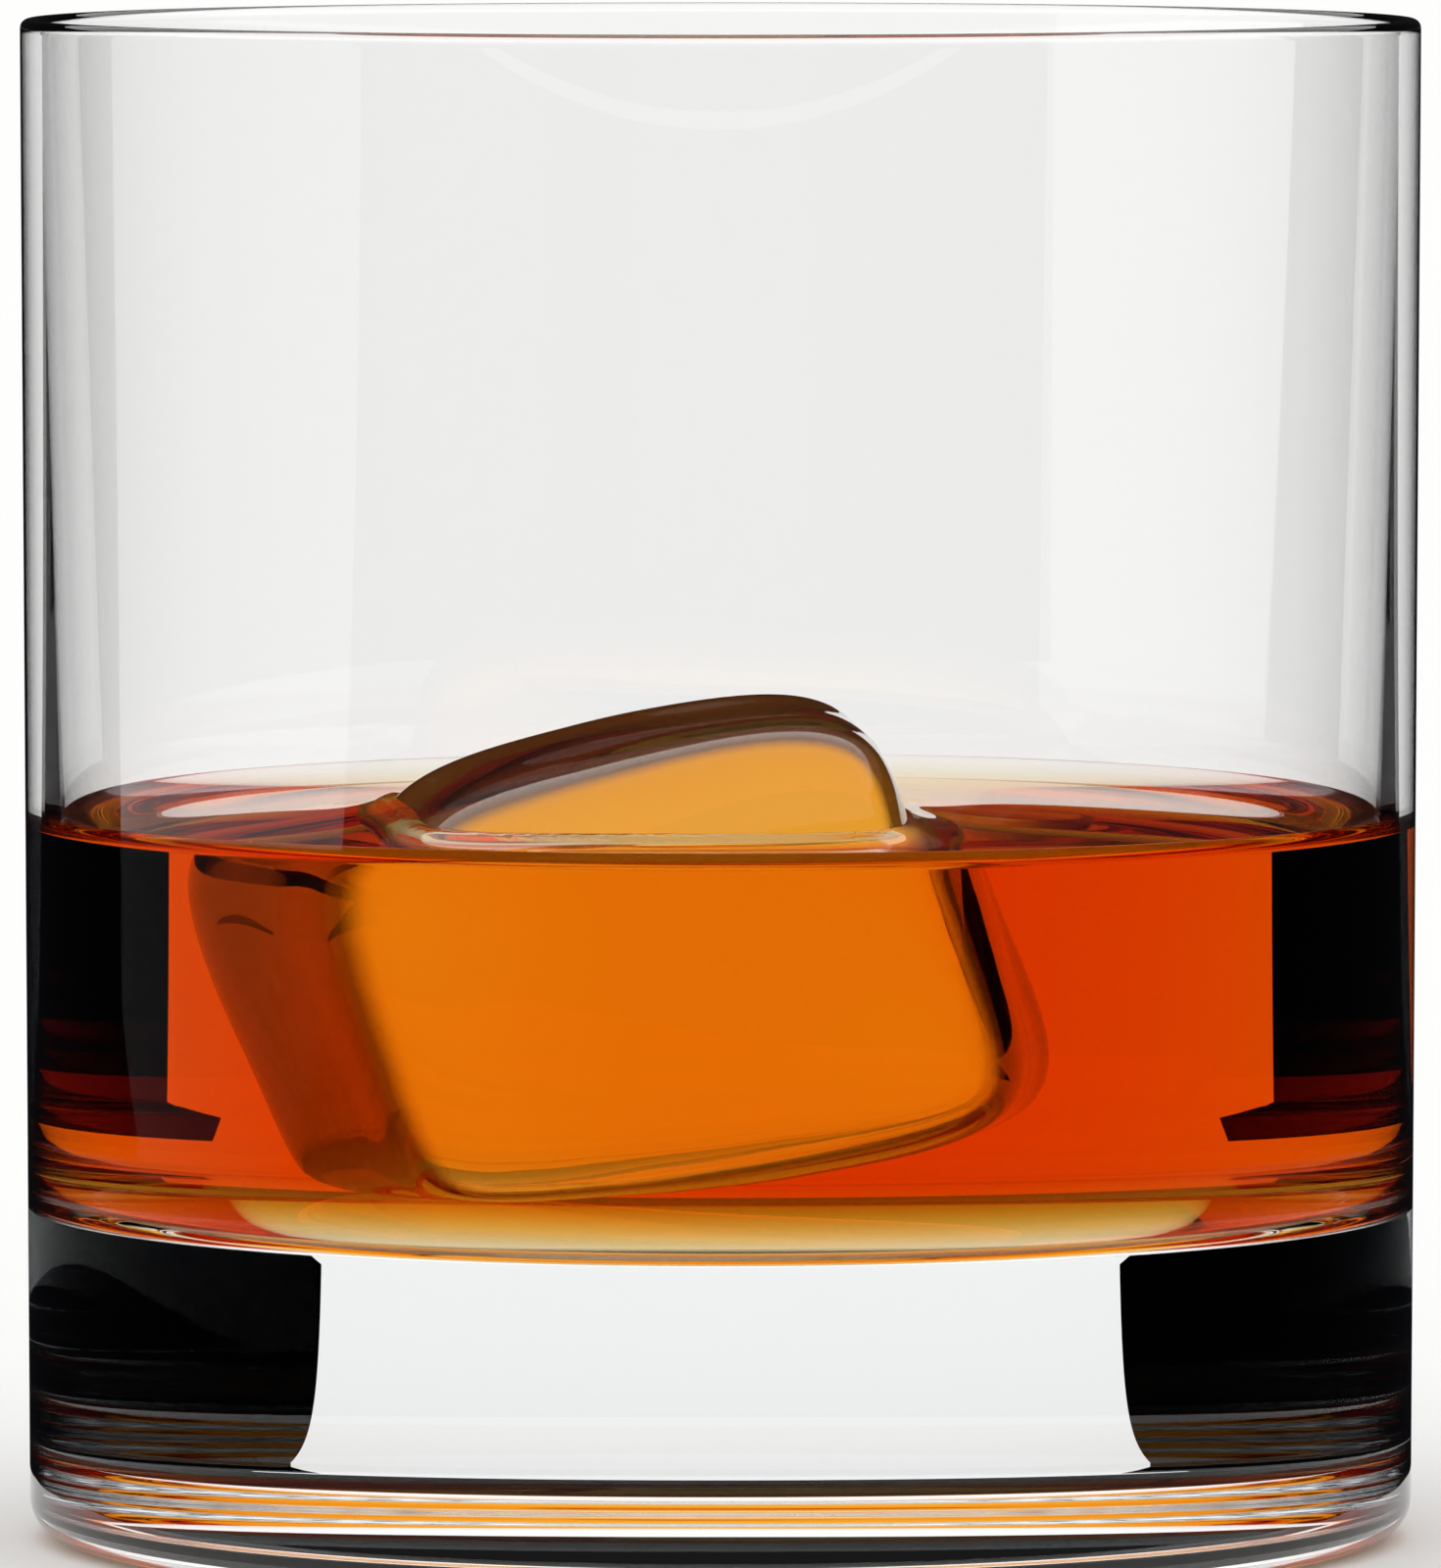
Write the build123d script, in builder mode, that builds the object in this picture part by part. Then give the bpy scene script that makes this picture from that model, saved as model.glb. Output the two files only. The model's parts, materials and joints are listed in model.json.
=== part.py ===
from build123d import *
import os

# A straight-sided old-fashioned tumbler with a thick clear base, holding a measure of
# whisky and one large, partly melted block of ice.
# Millimetres. The origin is the centre of the foot, on the surface that the glass
# stands on; +Z goes up through the mouth, +X to the drinker's right and -Y to the front.

# tumbler: a soda-lime body, slightly narrower at the foot than at the rim
height = 90.2
rim_radius = 41.5
foot_radius = 41.1
rim_wall = 1.1
floor_wall = 2.4
floor_height = 19.2
heel_radius = 2.4
floor_corner_radius = 5.0
lip_radius = 0.5

# whisky: poured to a level, and climbing a little where it wets the glass
fill_level = 41.9
meniscus_rise = 1.4
meniscus_reach = 3.2
liquid_gap = 0.05

# ice: one block from a tapered mould with melted edges, its wide end at the back,
# tipped so that its left corner sits by the floor
ice_width = 31.5
ice_depth = 36.0
ice_height = 25.4
ice_taper = 2.3
ice_edge_radius = 7.0
ice_centre = (-3.0, -1.0, 34.2)
ice_pitch = -1.5
ice_roll = 12.5
ice_yaw = 4.7
ice_gap = 0.36

floor_radius = foot_radius - floor_wall
rim_bore_radius = rim_radius - rim_wall


def bore_radius(z):
    """The inner wall's radius at height z: a straight taper from the floor to the rim."""
    share = (z - floor_height) / (height - floor_height)
    return floor_radius + share * (rim_bore_radius - floor_radius)


def ice_block(grow):
    """The rounded block of ice, larger by grow all over."""
    back = Plane(
        origin=ice_frame.from_local_coords((0, ice_depth / 2 + grow, 0)),
        x_dir=ice_frame.x_dir,
        z_dir=-ice_frame.y_dir,
    )
    with BuildPart() as block:
        with BuildSketch(back):
            Rectangle(ice_width + 2 * grow, ice_height + 2 * grow)
        extrude(amount=ice_depth + 2 * grow, taper=ice_taper)
        fillet(block.edges(), ice_edge_radius + grow)
    return block.part


# The block's own frame: width along X, depth along Y and height along Z, before its
# right-hand end is lifted by the roll, its left face shown by the yaw and its front
# raised by the pitch.
ice_turns = (ice_pitch, -ice_roll, ice_yaw)
ice_frame = Plane(Location(ice_centre, ice_turns, Extrinsic.XYZ))

# tumbler: half of its section, turned about the axis, then its rings are rounded
with BuildPart() as tumbler:
    with BuildSketch(Plane.XZ):
        with BuildLine():
            Polyline(
                (0, 0),
                (foot_radius, 0),
                (rim_radius, height),
                (rim_bore_radius, height),
                (floor_radius, floor_height),
                (0, floor_height),
                close=True,
            )
        make_face()
    revolve(axis=Axis.Z)
    rings = tumbler.edges().filter_by(GeomType.CIRCLE).group_by(Axis.Z)
    foot_ring, floor_ring, rim_rings = rings
    fillet(foot_ring, heel_radius)
    fillet(floor_ring, floor_corner_radius)
    fillet(rim_rings, lip_radius)

# ice cube: the block that floats, and the same block grown to make its place
with BuildPart() as ice_cube:
    add(ice_block(grow=0))

# whisky: it fills the bore to its level, with the block's place taken out of it
wetted_height = fill_level + meniscus_rise
wetted_radius = bore_radius(wetted_height) - liquid_gap
pool_radius = floor_radius - liquid_gap
pool_floor = floor_height + liquid_gap
with BuildPart() as whiskey:
    with BuildSketch(Plane.XZ):
        with BuildLine():
            Polyline(
                (0, fill_level),
                (0, pool_floor),
                (pool_radius, pool_floor),
                (wetted_radius, wetted_height),
            )
            Bezier(
                (wetted_radius, wetted_height),
                (wetted_radius - meniscus_reach / 8, fill_level),
                (wetted_radius - meniscus_reach, fill_level),
            )
            Line((wetted_radius - meniscus_reach, fill_level), (0, fill_level))
        make_face()
    revolve(axis=Axis.Z)
    pool_rings = whiskey.edges().filter_by(GeomType.CIRCLE).group_by(Axis.Z)
    fillet(pool_rings[0], floor_corner_radius)
    add(ice_block(grow=ice_gap), mode=Mode.SUBTRACT)

os.makedirs("parts", exist_ok=True)

tumbler.part.label = "tumbler"
export_step(tumbler.part, "parts/tumbler.step")
whiskey.part.label = "whiskey"
export_step(whiskey.part, "parts/whiskey.step")
ice_cube.part.label = "ice_cube"
export_step(ice_cube.part, "parts/ice_cube.step")
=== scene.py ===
import json
import math

import bpy
from bpy.props import FloatProperty, FloatVectorProperty, IntProperty, PointerProperty
from bpy.types import Operator, Panel, PropertyGroup
from mathutils import Euler, Matrix, Vector, noise
from mathutils.bvhtree import BVHTree

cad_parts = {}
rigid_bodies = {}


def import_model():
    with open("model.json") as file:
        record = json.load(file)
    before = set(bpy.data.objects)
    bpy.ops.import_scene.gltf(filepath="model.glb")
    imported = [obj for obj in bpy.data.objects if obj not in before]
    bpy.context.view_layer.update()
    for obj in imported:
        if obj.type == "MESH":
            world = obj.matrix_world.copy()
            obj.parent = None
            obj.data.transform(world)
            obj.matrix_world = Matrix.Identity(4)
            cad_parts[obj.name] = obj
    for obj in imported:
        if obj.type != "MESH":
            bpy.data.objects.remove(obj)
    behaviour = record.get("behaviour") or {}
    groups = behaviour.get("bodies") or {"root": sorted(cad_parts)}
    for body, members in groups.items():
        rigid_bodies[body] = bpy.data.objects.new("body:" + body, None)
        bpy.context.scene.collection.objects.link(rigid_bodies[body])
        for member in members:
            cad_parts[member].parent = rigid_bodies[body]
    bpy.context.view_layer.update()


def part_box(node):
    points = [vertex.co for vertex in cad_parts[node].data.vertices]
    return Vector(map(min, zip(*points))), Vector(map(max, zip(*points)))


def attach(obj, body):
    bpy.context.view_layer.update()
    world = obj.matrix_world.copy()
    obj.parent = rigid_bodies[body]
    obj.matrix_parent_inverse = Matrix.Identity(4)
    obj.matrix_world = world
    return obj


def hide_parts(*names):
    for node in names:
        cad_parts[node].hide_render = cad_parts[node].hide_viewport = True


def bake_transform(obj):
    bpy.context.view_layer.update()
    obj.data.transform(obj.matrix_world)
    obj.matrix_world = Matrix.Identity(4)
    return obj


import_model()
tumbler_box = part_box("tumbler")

# A straight-sided tumbler of whiskey with one melted block of ice, in metres, in the
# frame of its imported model: the foot stands on z = 0 and -Y is the front.

bl_info = {
    "name": "Whiskey Tumbler",
    "version": (1, 0, 0),
    "blender": (4, 5, 0),
    "location": "View3D > Sidebar > Tumbler",
    "description": "Builds a clear tumbler, its whiskey and its block of ice",
    "category": "Object",
}

MM = 0.001

# A point no further than this below the whiskey's level belongs to its free surface.
SKIN = 0.1 * MM


def srgb(hex_code):
    """A colour written as six sRGB hex digits, as the linear values that nodes take."""
    channels = [int(hex_code[i:i + 2], 16) / 255 for i in (0, 2, 4)]
    return [c / 12.92 if c <= 0.04045 else ((c + 0.055) / 1.055) ** 2.4 for c in channels]


# ---------------------------------------------------------------- sizes and colours


class TumblerSizes(PropertyGroup):
    """The glass: its outside comes from the frame, its wall and curves are here."""

    rim_wall: FloatProperty(
        name="Rim wall", description="Thickness of the wall at the rim",
        default=1.1 * MM, min=0.5 * MM, unit="LENGTH")
    floor_wall: FloatProperty(
        name="Floor wall", description="Thickness of the wall just above the base",
        default=2.4 * MM, min=0.5 * MM, unit="LENGTH")
    floor_height: FloatProperty(
        name="Base thickness", description="Height of the inner floor above the foot",
        default=19.2 * MM, min=2 * MM, unit="LENGTH")
    foot_draft: FloatProperty(
        name="Draft", description="How much less the radius is at the foot than at the rim",
        default=0.4 * MM, min=0.0, unit="LENGTH")
    heel_radius: FloatProperty(
        name="Heel radius", description="Rounding between the foot and the side",
        default=2.4 * MM, min=0.5 * MM, unit="LENGTH")
    corner_radius: FloatProperty(
        name="Inner corner radius", description="Rounding between the floor and the wall",
        default=5.0 * MM, min=0.5 * MM, unit="LENGTH")
    segments: IntProperty(
        name="Segments", description="Facets around the axis", default=288, min=32)


class WhiskeySizes(PropertyGroup):
    """The liquid: how high it stands and how it climbs where it wets glass and ice."""

    level: FloatProperty(
        name="Level", description="Height of the flat surface above the foot",
        default=41.9 * MM, unit="LENGTH")
    wall_climb: FloatProperty(
        name="Climb at the wall", description="Height of the meniscus on the glass",
        default=1.4 * MM, min=0.0, unit="LENGTH")
    ice_climb: FloatProperty(
        name="Climb at the ice", description="Height of the meniscus on the ice",
        default=1.0 * MM, min=0.0, unit="LENGTH")
    climb_length: FloatProperty(
        name="Climb length", description="Distance over which the meniscus dies away",
        default=1.7 * MM, min=0.1 * MM, unit="LENGTH")
    wetting: FloatProperty(
        name="Wetting", description="How far the liquid's skin lies inside what it wets",
        default=0.05 * MM, min=0.01 * MM, unit="LENGTH")
    drop: FloatProperty(
        name="Drop", description="How far the level falls when the ice is lifted out",
        default=3.6 * MM, min=0.0, unit="LENGTH")
    density: FloatProperty(
        name="Strength", description="How fast the liquid takes up light, per metre",
        default=160.0, min=0.0)


class IceSizes(PropertyGroup):
    """The block of ice, before and after it has melted a little."""

    size: FloatVectorProperty(
        name="Size", description="Width, depth and height of the block at its wide end",
        default=(32.4 * MM, 37.0 * MM, 26.4 * MM), unit="LENGTH", subtype="XYZ")
    taper: FloatProperty(
        name="Taper", description="Slope of its four sides towards the front",
        default=math.radians(2.3), unit="ROTATION", subtype="ANGLE")
    turn: FloatVectorProperty(
        name="Turn", description="Pitch that raises the front, roll that raises the right "
        "and yaw that shows the left side",
        default=tuple(math.radians(a) for a in (-1.5, -12.5, 4.7)), unit="ROTATION", subtype="EULER")
    crown: FloatProperty(
        name="Crown", description="How much the middle of the top stands above its edges",
        default=1.6 * MM, min=0.0, unit="LENGTH")
    melt_depth: FloatProperty(
        name="Melt depth", description="Height of the hollows that melting has left",
        default=0.7 * MM, min=0.0, unit="LENGTH")
    melt_width: FloatProperty(
        name="Melt width", description="Distance between those hollows",
        default=15 * MM, min=1 * MM, unit="LENGTH")


class StageSizes(PropertyGroup):
    """Floor, light and camera."""

    camera_distance: FloatProperty(
        name="Camera distance", description="From the tumbler's axis to the lens",
        default=1.1, min=0.2, unit="LENGTH")
    camera_height: FloatProperty(
        name="Camera height", description="Height of the lens above the foot",
        default=0.1159, unit="LENGTH")
    frame_height: FloatProperty(
        name="Picture height", description="Height of what the picture holds at the tumbler",
        default=0.0930, min=0.01, unit="LENGTH")
    aim_height: FloatProperty(
        name="Aim height", description="Height on the axis that the lens points at",
        default=44.7 * MM, unit="LENGTH")


# Cards and the low sky are dark only for rays within this many degrees of level, so
# that a view from higher up sees the pale table through the glass. Behind the tumbler
# the sky is dark to a steeper angle, for the sides of the whiskey seen from the front.
STEEPEST_SKIM = 11
STEEPEST_BEHIND = 20

# Two windows of sky, behind and to the left, stay bright down to the horizon. Each
# reaches this many degrees either way.
WINDOW_HALF_ANGLE = 26.5
SKY_STRENGTH = 1.15
DARK_SKY_STRENGTH = 0.01

# How the stage's flat pieces lie under the foot, top to bottom, so that none cuts another.
FLAG_HEIGHT = -0.05 * MM
COVER_HEIGHT = -0.06 * MM
FLOOR_HEIGHT = -0.10 * MM


# ---------------------------------------------------------------- helpers


def settings():
    """The property groups, which hang on the scene."""
    scene = bpy.context.scene
    return scene.tumbler_sizes, scene.whiskey_sizes, scene.ice_sizes, scene.stage_sizes


def clear_selection():
    """Leaves edit mode and deselects every object, the frame's own nodes among them."""
    if bpy.context.object and bpy.context.object.mode != "OBJECT":
        bpy.ops.object.mode_set(mode="OBJECT")
    for item in bpy.context.view_layer.objects:
        item.select_set(False)


def name_new(name):
    """Names the object that was just added, with its mesh, and returns it."""
    piece = bpy.context.object
    piece.name = name
    piece.data.name = name
    return piece


def settle(piece):
    """Moves a piece's place and turn into its mesh, so the object is at the origin."""
    clear_selection()
    piece.select_set(True)
    bpy.context.view_layer.objects.active = piece
    bpy.ops.object.transform_apply(location=True, rotation=True, scale=True)


def apply_modifiers(piece):
    clear_selection()
    piece.select_set(True)
    bpy.context.view_layer.objects.active = piece
    for modifier in list(piece.modifiers):
        bpy.ops.object.modifier_apply(modifier=modifier.name)


def arc(centre, radius, start, end, steps):
    """Points of an arc in the (radius, height) plane, ends included, angles in degrees."""
    points = []
    for i in range(steps + 1):
        angle = math.radians(start + (end - start) * i / steps)
        points.append((centre[0] + radius * math.cos(angle), centre[1] + radius * math.sin(angle)))
    return points


def run(start, end, steps, margin=0.25 * MM):
    """Points of a straight run between two others, closer together near its ends."""
    length = math.dist(start, end)
    near = min(margin / length, 0.2)
    shares = [near] + [near + (1 - 2 * near) * i / steps for i in range(1, steps)] + [1 - near]
    return [(start[0] + (end[0] - start[0]) * s, start[1] + (end[1] - start[1]) * s)
            for s in shares]


def turn_profile(name, points, segments):
    """A closed body of revolution: one point is extruded along the profile and spun."""
    clear_selection()
    bpy.ops.mesh.primitive_plane_add(size=1 * MM, location=(0, 0, 0))
    piece = name_new(name)
    bpy.ops.object.mode_set(mode="EDIT")
    bpy.ops.mesh.select_all(action="SELECT")
    bpy.ops.mesh.merge(type="CENTER")
    bpy.ops.transform.translate(value=(points[0][0], 0, points[0][1]))
    for before, after in zip(points, points[1:]):
        step = (after[0] - before[0], 0, after[1] - before[1])
        bpy.ops.mesh.extrude_region_move(TRANSFORM_OT_translate={"value": step})
    bpy.ops.mesh.select_all(action="SELECT")
    bpy.ops.mesh.spin(steps=segments, angle=math.tau, center=(0, 0, 0), axis=(0, 0, 1))
    bpy.ops.mesh.select_all(action="SELECT")
    bpy.ops.mesh.remove_doubles(threshold=0.001 * MM)
    bpy.ops.mesh.select_all(action="SELECT")
    bpy.ops.mesh.normals_make_consistent(inside=False)
    bpy.ops.object.mode_set(mode="OBJECT")
    settle(piece)
    return piece


def shade(piece, angle):
    clear_selection()
    piece.select_set(True)
    bpy.context.view_layer.objects.active = piece
    bpy.ops.object.shade_smooth_by_angle(angle=math.radians(angle))


def bore_radius(z):
    """The inner wall's radius at height z: a straight taper from the floor to the rim."""
    glass = settings()[0]
    rim = rim_radius() - glass.rim_wall
    floor = rim_radius() - glass.foot_draft - glass.floor_wall
    share = (z - glass.floor_height) / (cad_height() - glass.floor_height)
    return floor + share * (rim - floor)


def rim_radius():
    low, high = tumbler_box
    return (high[0] - low[0]) / 2


def cad_height():
    return tumbler_box[1][2]


# ---------------------------------------------------------------- materials


def add_node(material, kind, values=None, links=None, **attributes):
    """Adds a node, sets its attributes and socket values, and links sockets to it."""
    tree = material.node_tree
    node = tree.nodes.new(kind)
    for key, value in attributes.items():
        setattr(node, key, value)
    for key, value in (values or {}).items():
        node.inputs[key].default_value = value
    for key, source in (links or {}).items():
        tree.links.new(source, node.inputs[key])
    return node


def mark_dry(piece, is_dry):
    """Writes 1 on the faces that meet air and 0 on those that meet glass, ice or whiskey."""
    dry = piece.data.attributes.new("dry", "FLOAT", "FACE")
    dry.data.foreach_set("value", [float(is_dry(p.center)) for p in piece.data.polygons])


def only_where_dry(material):
    """A tint for the shine, white against air and black where liquid wets the surface,
    because glass, ice and whiskey bend light so alike that hardly any shines back between
    them, until it skims so low that all of it does."""
    dry = add_node(material, "ShaderNodeAttribute", attribute_name="dry")
    return dry.outputs["Fac"]


def new_material(name):
    material = bpy.data.materials.new(name)
    material.use_nodes = True
    material.node_tree.nodes.clear()
    return material


def soda_lime_glass():
    """Soda-lime glass, blown in a mould and fire-polished: colourless and mirror smooth,
    with a faint draw in the wall that bends what is seen through it."""
    material = new_material("fire_polished_soda_lime_glass")
    place = add_node(material, "ShaderNodeTexCoord")
    stretch = add_node(material, "ShaderNodeMapping", {"Scale": (60, 60, 14)},
                       {"Vector": place.outputs["Object"]})
    draw = add_node(material, "ShaderNodeTexNoise", {"Scale": 1.0, "Detail": 1.5},
                    {"Vector": stretch.outputs["Vector"]})
    relief = add_node(material, "ShaderNodeBump", {"Strength": 0.02, "Distance": 0.3 * MM},
                      {"Height": draw.outputs["Fac"]})
    body = add_node(material, "ShaderNodeBsdfPrincipled",
                    {"Base Color": (1, 1, 1, 1), "Roughness": 0.0, "IOR": 1.52,
                     "Transmission Weight": 1.0},
                    {"Normal": relief.outputs["Normal"], "Specular Tint": only_where_dry(material)})
    tint = add_node(material, "ShaderNodeVolumeAbsorption",
                    {"Color": (*srgb("E4F0F4"), 1), "Density": 2.0})
    add_node(material, "ShaderNodeOutputMaterial", None,
             {"Surface": body.outputs["BSDF"], "Volume": tint.outputs["Volume"]})
    return material


def oak_aged_whiskey():
    """Whiskey, coloured by oak: amber where light's way through it is short, and deep
    red-orange to black where it is long, because it takes up blue first and then green."""
    liquid = settings()[1]
    material = new_material("oak_aged_whiskey")
    body = add_node(material, "ShaderNodeBsdfPrincipled",
                    {"Base Color": (1, 1, 1, 1), "Roughness": 0.0, "IOR": 1.36,
                     "Transmission Weight": 1.0}, {"Specular Tint": only_where_dry(material)})
    tint = add_node(material, "ShaderNodeVolumeAbsorption",
                    {"Color": (*srgb("FCDD00"), 1), "Density": liquid.density})
    add_node(material, "ShaderNodeOutputMaterial", None,
             {"Surface": body.outputs["BSDF"], "Volume": tint.outputs["Volume"]})
    return material


def melting_ice():
    """Clear ice, wet and melting: glassy, with shallow dimples a few millimetres across.
    Its colour is painted near black where it is seen at a low angle: a painted dark reflection, in
    place of dark cards reflected in it."""
    material = new_material("wet_melting_ice")
    place = add_node(material, "ShaderNodeTexCoord")
    dimples = add_node(material, "ShaderNodeTexNoise", {"Scale": 130.0, "Detail": 2.0},
                       {"Vector": place.outputs["Object"]})
    relief = add_node(material, "ShaderNodeBump", {"Strength": 0.08, "Distance": 0.5 * MM},
                      {"Height": dimples.outputs["Fac"]})
    # Painted dark reflection: the colour the ice passes on goes from white to near black where its
    # surface is seen at a low angle, standing in for dark cards reflected in it.
    graze = add_node(material, "ShaderNodeLayerWeight", {"Blend": 0.5})
    edge = add_node(material, "ShaderNodeMapRange", {"From Min": 0.42, "From Max": 0.66},
                    {"Value": graze.outputs["Facing"]}, interpolation_type="SMOOTHSTEP")
    # Sockets 0, 6 and 7 are the factor and the two colours, and output 2 is the mixed one.
    painted_dark_reflection = add_node(material, "ShaderNodeMix", {6: (1, 1, 1, 1), 7: (0.05, 0.03, 0.01, 1)},
                    {0: edge.outputs["Result"]}, data_type="RGBA")
    body = add_node(material, "ShaderNodeBsdfPrincipled",
                    {"Roughness": 0.0, "IOR": 1.31, "Transmission Weight": 1.0},
                    {"Normal": relief.outputs["Normal"], "Base Color": painted_dark_reflection.outputs[2],
                     "Specular Tint": only_where_dry(material)})
    add_node(material, "ShaderNodeOutputMaterial", None, {"Surface": body.outputs["BSDF"]})
    return material


# ---------------------------------------------------------------- operators


class TUMBLER_OT_glass(Operator):
    """Spin the tumbler: thick base, rounded heel, tapering wall and fire-polished lip"""

    bl_idname = "tumbler.glass"
    bl_label = "Tumbler"

    def execute(self, context):
        glass = settings()[0]
        height = cad_height()
        foot = rim_radius() - glass.foot_draft
        heel = glass.heel_radius
        corner = glass.corner_radius
        lip = glass.rim_wall / 2
        floor = glass.floor_height
        corner_bore = bore_radius(floor + corner)
        wet_top = settings()[1].level + settings()[1].wall_climb
        points = [(0, 0)]
        points += run((0, 0), (foot - heel, 0), 6)
        points += arc((foot - heel, heel), heel, -90, 0, 20)
        points += run((foot, heel), (rim_radius(), height - lip), 12)
        points += arc((rim_radius() - lip, height - lip), lip, 0, 180, 14)
        points += run((rim_radius() - 2 * lip, height - lip), (bore_radius(wet_top), wet_top), 10)
        points += run((bore_radius(wet_top), wet_top), (corner_bore, floor + corner), 8)
        points += arc((corner_bore - corner, floor + corner), corner, 0, -90, 18)
        points += run((corner_bore - corner, floor), (0, floor), 6)
        points += [(0, floor)]
        piece = turn_profile("tumbler_glass", points, glass.segments)
        shade(piece, 40)

        def meets_air(at):
            return at.xy.length > bore_radius(at.z) + 0.3 * MM or at.z > wet_top or at.z < floor - MM

        mark_dry(piece, meets_air)
        piece.data.materials.append(soda_lime_glass())
        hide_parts("tumbler")
        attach(piece, "glass")
        return {"FINISHED"}


def melted(piece, depth, width, seed):
    """Moves each point along its normal by smooth noise, as melting wears a block."""
    origin = Vector((seed, seed * 0.37, seed * 0.71))
    mesh = piece.data
    moves = [v.normal * depth * noise.noise(v.co / width + origin) for v in mesh.vertices]
    for v, move in zip(mesh.vertices, moves):
        v.co += move


class TUMBLER_OT_ice(Operator):
    """Model the block of ice: a rounded block, tipped, with its faces melted"""

    bl_idname = "tumbler.ice"
    bl_label = "Ice"

    def execute(self, context):
        ice = settings()[2]
        low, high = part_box("ice_cube")
        centre = [(a + b) / 2 for a, b in zip(low, high)]
        clear_selection()
        bpy.ops.mesh.primitive_cube_add(size=1)
        piece = name_new("ice_block")
        bpy.ops.object.mode_set(mode="EDIT")
        bpy.ops.mesh.select_all(action="SELECT")
        bpy.ops.mesh.subdivide(number_cuts=2)
        bpy.ops.transform.resize(value=ice.size)
        bpy.ops.object.mode_set(mode="OBJECT")
        width, depth, tall = ice.size
        for v in piece.data.vertices:
            narrower = 2 * (depth / 2 - v.co.y) * math.tan(ice.taper)
            v.co.x *= 1 - narrower / width
            v.co.z *= 1 - narrower / tall
            on_top_middle = v.co.z > tall / 3 and abs(v.co.x) < width / 4
            if on_top_middle:
                v.co.z += ice.crown
        rounding = piece.modifiers.new("rounding", "SUBSURF")
        rounding.levels = 5
        rounding.render_levels = 5
        apply_modifiers(piece)
        melted(piece, ice.melt_depth, ice.melt_width, seed=3.1)
        piece.data.transform(Euler(ice.turn, "XYZ").to_matrix().to_4x4())
        corners = [[pick(v.co[k] for v in piece.data.vertices) for k in range(3)]
                   for pick in (min, max)]
        middle = (Vector(corners[0]) + Vector(corners[1])) / 2
        piece.data.transform(Matrix.Translation(Vector(centre) - middle))
        settle(piece)
        shade(piece, 60)
        mark_dry(piece, lambda at: at.z > settings()[1].level + settings()[1].ice_climb)
        piece.data.materials.append(melting_ice())
        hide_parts("ice_cube")
        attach(piece, "ice")
        return {"FINISHED"}


def signed_distance(tree, point):
    """Distance from a point to the block's skin, negative inside it."""
    nearest, normal, _, distance = tree.find_nearest(point)
    return -distance if (point - nearest).dot(normal) < 0 else distance


class TUMBLER_OT_whiskey(Operator):
    """Pour the whiskey: it wets the glass, climbs at its edges and makes room for the ice"""

    bl_idname = "tumbler.whiskey"
    bl_label = "Whiskey"

    def execute(self, context):
        glass, liquid, _, _ = settings()
        block = bpy.data.objects.get("ice_block")
        if block is None:
            raise RuntimeError("the whiskey is poured round the ice, so the ice comes first")
        wet = liquid.wetting
        corner = glass.corner_radius
        floor = glass.floor_height - wet
        reach = bore_radius(liquid.level)
        contact = liquid.level + liquid.wall_climb

        def climb(gap, rise):
            return rise * math.exp(-max(gap, 0) / liquid.climb_length)

        corner_bore = bore_radius(glass.floor_height + corner) + wet
        points = [(0, floor)]
        points += run((0, floor), (corner_bore - corner, floor), 6)
        points += arc((corner_bore - corner, floor + corner), corner, -90, 0, 18)
        points += run((corner_bore, floor + corner), (bore_radius(contact) + wet, contact), 8)
        points += [(bore_radius(contact) + wet, contact)]
        ring_gap = 0.06 * MM
        while ring_gap < reach:
            points.append((reach - ring_gap, liquid.level + climb(ring_gap, liquid.wall_climb)))
            ring_gap += min(0.55 * MM, 0.06 * MM + ring_gap * 0.25)
        points += [(0, liquid.level)]
        piece = turn_profile("whiskey_pour", points, glass.segments)

        mesh = block.data
        tree = BVHTree.FromPolygons([v.co for v in mesh.vertices],
                                    [p.vertices for p in mesh.polygons])
        edge = reach - 1.0 * MM
        for v in piece.data.vertices:
            if v.co.z > liquid.level - SKIN and v.co.xy.length < edge:
                v.co.z += climb(signed_distance(tree, v.co), liquid.ice_climb)

        clear_selection()
        hollow = block.copy()
        hollow.data = block.data.copy()
        hollow.parent = None
        context.scene.collection.objects.link(hollow)
        inward = [-v.normal * wet for v in hollow.data.vertices]
        for v, move in zip(hollow.data.vertices, inward):
            v.co += move
        cut = piece.modifiers.new("place_of_the_ice", "BOOLEAN")
        cut.operation = "DIFFERENCE"
        cut.solver = "MANIFOLD"
        cut.object = hollow
        apply_modifiers(piece)
        bpy.data.objects.remove(hollow)
        shade(piece, 25)
        inside = bore_radius(liquid.level) - 0.02 * MM

        def meets_air(at):
            on_top = at.z > liquid.level - SKIN and at.xy.length < inside
            return on_top and abs(signed_distance(tree, at)) > 0.15 * MM

        mark_dry(piece, meets_air)
        piece.data.materials.clear()
        piece.data.materials.append(oak_aged_whiskey())
        self.close_behind_ice(piece, tree)
        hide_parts("whiskey")
        return {"FINISHED"}

    def close_behind_ice(self, piece, tree):
        """Moves the whiskey's place into its mesh and finds which of its points inside the wall lie
        on the ice; it moves none of them.
        """
        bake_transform(piece)
        for v in piece.data.vertices:
            if v.co.xy.length < bore_radius(v.co.z) - 1.0 * MM:
                on_ice = abs(signed_distance(tree, v.co)) < 0.3 * MM


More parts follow.
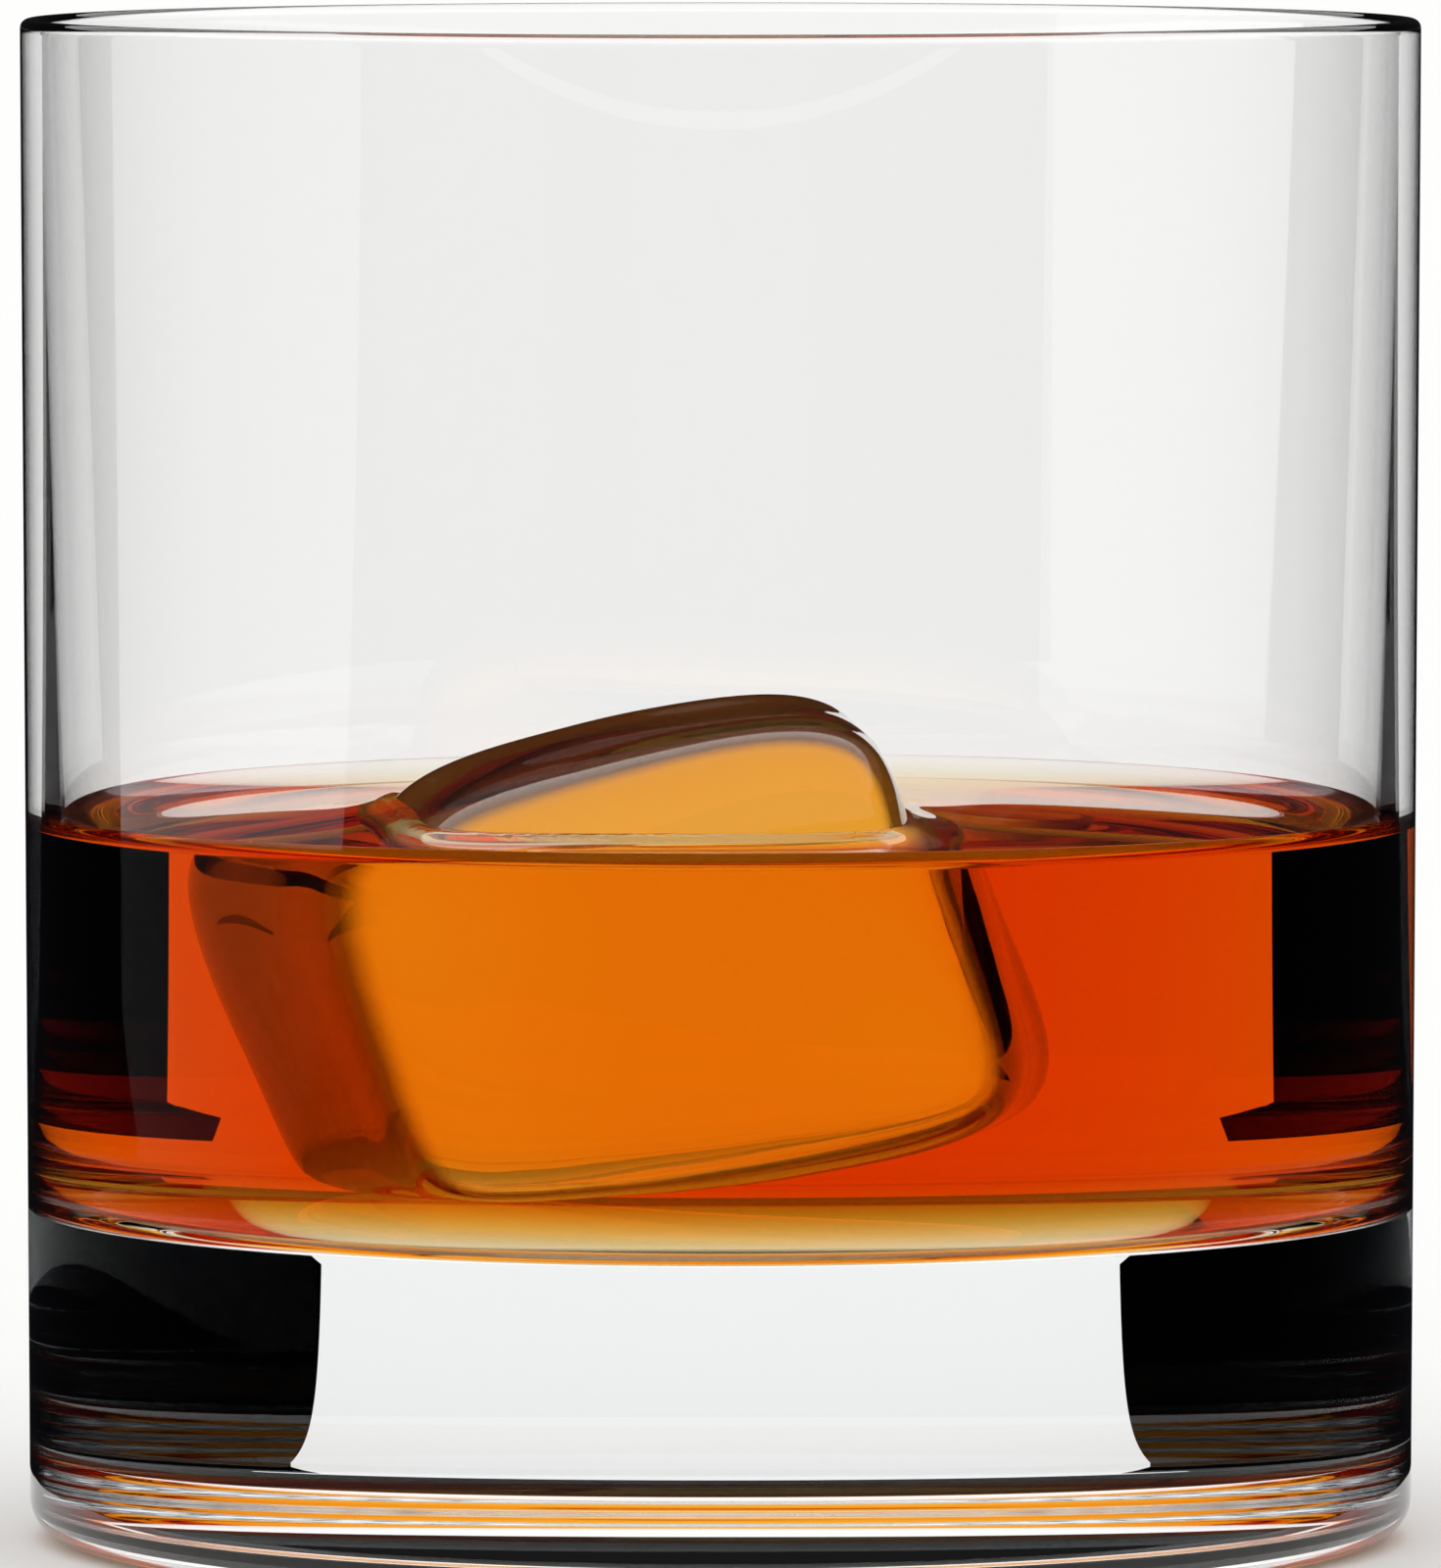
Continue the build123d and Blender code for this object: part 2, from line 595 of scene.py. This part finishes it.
class TUMBLER_OT_stage(Operator):
    """Set the floor, the soft light, the black flags that edge the glass, and the camera"""

    bl_idname = "tumbler.stage"
    bl_label = "Stage"

    def execute(self, context):
        self.floor()
        self.flags()
        self.world(context)
        self.camera(context)
        view = context.scene.view_settings
        view.view_transform = "Standard"
        view.look = "None"
        cycles = context.scene.cycles
        cycles.max_bounces = 32
        cycles.transmission_bounces = 32
        cycles.glossy_bounces = 16
        cycles.transparent_max_bounces = 32
        cycles.use_denoising = True
        return {"FINISHED"}

    def floor(self):
        clear_selection()
        bpy.ops.mesh.primitive_plane_add(size=400, location=(0, 0, FLOOR_HEIGHT))
        ground = name_new("pale_floor")
        material = new_material("matt_white_table")
        body = add_node(material, "ShaderNodeBsdfPrincipled",
                        {"Base Color": (*srgb("F4F4F3"), 1), "Roughness": 0.7,
                         "Specular IOR Level": 0.0})
        add_node(material, "ShaderNodeOutputMaterial", None, {"Surface": body.outputs["BSDF"]})
        ground.data.materials.append(material)

    def skimmed(self, name, colour):
        """A material that is there only for rays that skim the table, and clear from above."""
        material = new_material(name)
        skim = add_node(material, "ShaderNodeLayerWeight", {"Blend": 0.5})
        low = 1 - math.sin(math.radians(STEEPEST_SKIM))
        edge = add_node(material, "ShaderNodeMath", {1: low}, {0: skim.outputs["Facing"]},
                        operation="GREATER_THAN")
        clear = add_node(material, "ShaderNodeBsdfTransparent")
        card = add_node(material, "ShaderNodeEmission", {"Color": (*srgb(colour), 1)})
        mix = add_node(material, "ShaderNodeMixShader", None,
                       {0: edge.outputs[0], 1: clear.outputs[0], 2: card.outputs[0]})
        add_node(material, "ShaderNodeOutputMaterial", None, {"Surface": mix.outputs[0]})
        return material

    def lay_card(self, name, corners, height, material):
        """A flat card on the table, from its corners in order."""
        clear_selection()
        bpy.ops.mesh.primitive_circle_add(vertices=len(corners), radius=1, fill_type="NGON",
                                          location=(0, 0, height))
        card = name_new(name)
        for v, corner in zip(card.data.vertices, corners):
            v.co = (*corner, 0)
        settle(card)
        card.data.materials.append(material)
        card.visible_camera = False
        card.visible_diffuse = False
        card.visible_shadow = False
        card.visible_volume_scatter = False
        return card

    def flags(self):
        """Two black flags on the table, with a bright gap behind the tumbler and another
        to its left, which edge the thick glass and the whiskey in black, and a dark cover all
        round, which keeps the table's shine off them. The flags are seen only through
        glass and the cover only in reflections, and both only by light that skims the table."""
        far = 60.0
        far_slope = 0.60
        point = 54 * MM
        corner = 31.5 * MM
        clear_of_foot = 50 * MM
        clear_of_shine = 60 * MM
        right = [(0.0, point), (65 * MM, 198 * MM), (116 * MM, 250 * MM), (far_slope * far, far)]
        left = [(-x, y) for x, y in right]
        upper = [(-y, x) for x, y in right]
        lower = [(-y, -x) for x, y in right]
        between = left + upper[::-1] + [(-corner, corner)]
        ring = arc((0, 0), clear_of_foot, 180, 450, 12)
        around = right + [(far, far), (far, -far), (-far, -far)] + lower[::-1] + ring
        black = self.skimmed("black_flag_card", "000000")
        for name, corners in (("black_flag_behind", between), ("black_flag_round", around)):
            flag = self.lay_card(name, corners, FLAG_HEIGHT, black)
            flag.visible_glossy = False
        dark = self.skimmed("dark_table_cover", "101114")
        hole = arc((0, 0), clear_of_shine, 360, 0, 24)
        square = [(far, 0.0), (far, far), (-far, far), (-far, -far), (far, -far), (far, 0.0)]
        cover = self.lay_card("dark_cover", square + hole, COVER_HEIGHT, dark)
        cover.visible_transmission = False

    def world(self, context):
        world = bpy.data.worlds.new("soft_studio")
        context.scene.world = world
        world.use_nodes = True
        world.node_tree.nodes.clear()
        place = add_node(world, "ShaderNodeTexCoord")
        parts = add_node(world, "ShaderNodeSeparateXYZ", None, {0: place.outputs["Generated"]})
        x, y, z = parts.outputs

        def math_node(operation, a, b=0.0):
            node = add_node(world, "ShaderNodeMath", operation=operation)
            for i, value in enumerate((a, b)):
                if isinstance(value, float):
                    node.inputs[i].default_value = value
                else:
                    world.node_tree.links.new(value, node.inputs[i])
            return node.outputs[0]

        flat = math_node("ADD", math_node("MULTIPLY", x, x), math_node("MULTIPLY", y, y))
        nearer = math_node("MAXIMUM", y, math_node("MULTIPLY", x, -1.0))
        facing = math_node("DIVIDE", nearer, math_node("SQRT", flat))
        between = math_node("LESS_THAN", facing, math.cos(math.radians(WINDOW_HALF_ANGLE)))
        ray = add_node(world, "ShaderNodeLightPath")
        dark = math_node("MAXIMUM", between, ray.outputs["Is Glossy Ray"])
        behind = math_node("GREATER_THAN", y, 0.2)
        skim = math.sin(math.radians(STEEPEST_SKIM))
        steep = math.sin(math.radians(STEEPEST_BEHIND))
        limit = math_node("ADD", math_node("MULTIPLY", behind, steep - skim), skim)
        low = math_node("LESS_THAN", z, limit)
        shadow = math_node("MULTIPLY", dark, low)
        loss = math_node("MULTIPLY", shadow, SKY_STRENGTH - DARK_SKY_STRENGTH)
        strength = math_node("SUBTRACT", SKY_STRENGTH, loss)
        back = add_node(world, "ShaderNodeBackground", {"Color": (1, 1, 1, 1)},
                        {"Strength": strength})
        add_node(world, "ShaderNodeOutputWorld", None, {"Surface": back.outputs[0]})

    def camera(self, context):
        stage = settings()[3]
        aim = Vector((0, 0, stage.aim_height))
        eye = Vector((0, -stage.camera_distance, stage.camera_height))
        data = bpy.data.cameras.new("camera")
        camera = bpy.data.objects.new("camera", data)
        context.scene.collection.objects.link(camera)
        camera.location = eye
        camera.rotation_euler = (aim - eye).to_track_quat("-Z", "Y").to_euler()
        data.sensor_fit = "VERTICAL"
        data.lens = data.sensor_height * stage.camera_distance / stage.frame_height
        data.clip_start = 0.01
        data.clip_end = 1000
        context.scene.camera = camera


# ---------------------------------------------------------------- panel and registration


class TUMBLER_PT_panel(Panel):
    """Lists the tumbler's pieces and their sizes"""

    bl_idname = "TUMBLER_PT_panel"
    bl_label = "Whiskey Tumbler"
    bl_space_type = "VIEW_3D"
    bl_region_type = "UI"
    bl_category = "Tumbler"

    def draw(self, context):
        layout = self.layout
        groups = zip(settings(), ("tumbler.glass", "tumbler.whiskey", "tumbler.ice", "tumbler.stage"))
        for group, operator in groups:
            box = layout.box()
            for key in group.bl_rna.properties.keys():
                if key not in ("rna_type", "name"):
                    box.prop(group, key)
            box.operator(operator)


CLASSES = (
    TumblerSizes, WhiskeySizes, IceSizes, StageSizes,
    TUMBLER_OT_glass, TUMBLER_OT_ice, TUMBLER_OT_whiskey, TUMBLER_OT_stage, TUMBLER_PT_panel,
)


def register():
    for item in CLASSES:
        bpy.utils.register_class(item)
    bpy.types.Scene.tumbler_sizes = PointerProperty(type=TumblerSizes)
    bpy.types.Scene.whiskey_sizes = PointerProperty(type=WhiskeySizes)
    bpy.types.Scene.ice_sizes = PointerProperty(type=IceSizes)
    bpy.types.Scene.stage_sizes = PointerProperty(type=StageSizes)


def unregister():
    for key in ("tumbler_sizes", "whiskey_sizes", "ice_sizes", "stage_sizes"):
        delattr(bpy.types.Scene, key)
    for item in reversed(CLASSES):
        bpy.utils.unregister_class(item)


def main():
    register()
    bpy.ops.tumbler.glass()
    bpy.ops.tumbler.ice()
    bpy.ops.tumbler.whiskey()
    bpy.ops.tumbler.stage()


if __name__ == "__main__":
    main()
